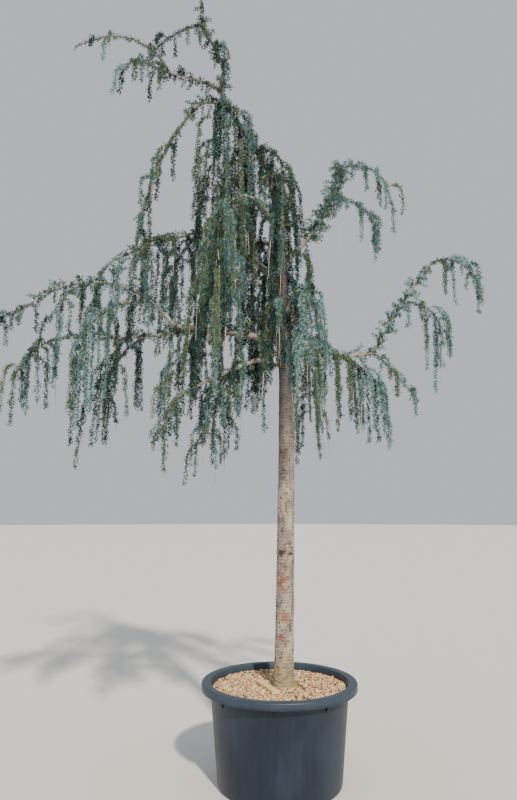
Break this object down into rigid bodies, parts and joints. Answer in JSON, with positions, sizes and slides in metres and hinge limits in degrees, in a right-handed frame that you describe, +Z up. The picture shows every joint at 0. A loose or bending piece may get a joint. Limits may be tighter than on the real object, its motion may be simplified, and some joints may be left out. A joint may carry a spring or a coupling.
{
  "type": "potted weeping cedar tree",
  "caption": "Weeping blue atlas cedar with a leaning leader, arching boughs and hanging needled shoots on a tall bare trunk, growing in a round black nursery container.",
  "frame": {"origin": "centre of the container's flat underside, at ground level", "axes": "+Z up along the trunk; +X to the right and -Y towards the viewer of the front view; the leader leans towards -X"},
  "size_m": [3.1687, 2.0772, 5.1728],
  "materials": {
    "pot": "charcoal moulded nursery plastic, satin, a little weathered and dusty",
    "soil": "loose tan bark chips and grit over growing substrate",
    "slat": "raw split softwood",
    "bark": "grey-brown cedar bark with fine cracks and reddish patches",
    "needles": "short blue-green cedar needles in whorls on slim brown shoots"
  },
  "bodies": {
    "root": {"pot": "pot", "soil": "soil", "slat": "slat", "trunk": "bark", "bough_back": "bark", "bough_back_left": "bark", "bough_back_low": "bark", "bough_far_left_inner": "bark", "bough_far_left_outer": "bark", "bough_front": "bark", "bough_front_low": "bark", "bough_front_right": "bark", "bough_left_inner": "bark", "bough_left_outer": "bark", "bough_low_left": "bark", "bough_right_high": "bark", "bough_right_inner": "bark", "bough_right_outer": "bark", "bough_top": "bark", "bough_upper_left": "bark", "foliage_back_left_side": "needles", "foliage_back_left_tip": "needles", "foliage_back_low": "needles", "foliage_back_side": "needles", "foliage_back_tip": "needles", "foliage_crown_back": "needles", "foliage_crown_front": "needles", "foliage_crown_left": "needles", "foliage_far_left_inner": "needles", "foliage_far_left_mid": "needles", "foliage_far_left_outer": "needles", "foliage_far_left_tip": "needles", "foliage_front_low_side": "needles", "foliage_front_low_tip": "needles", "foliage_front_right_side": "needles", "foliage_front_right_tip": "needles", "foliage_front_side": "needles", "foliage_front_tip": "needles", "foliage_leader": "needles", "foliage_leader_left": "needles", "foliage_leader_right": "needles", "foliage_left_inner": "needles", "foliage_left_mid": "needles", "foliage_left_tip": "needles", "foliage_low_left_mid": "needles", "foliage_low_left_tip": "needles", "foliage_neck_back": "needles", "foliage_neck_right": "needles", "foliage_right_fall": "needles", "foliage_right_high_fall": "needles", "foliage_right_high_inner": "needles", "foliage_right_high_tip": "needles", "foliage_right_low": "needles", "foliage_right_mid": "needles", "foliage_right_tip": "needles", "foliage_shoulder": "needles", "foliage_top_high": "needles", "foliage_top_tip": "needles", "foliage_upper_left": "needles", "foliage_waist_left": "needles"}
  },
  "joints": []
}
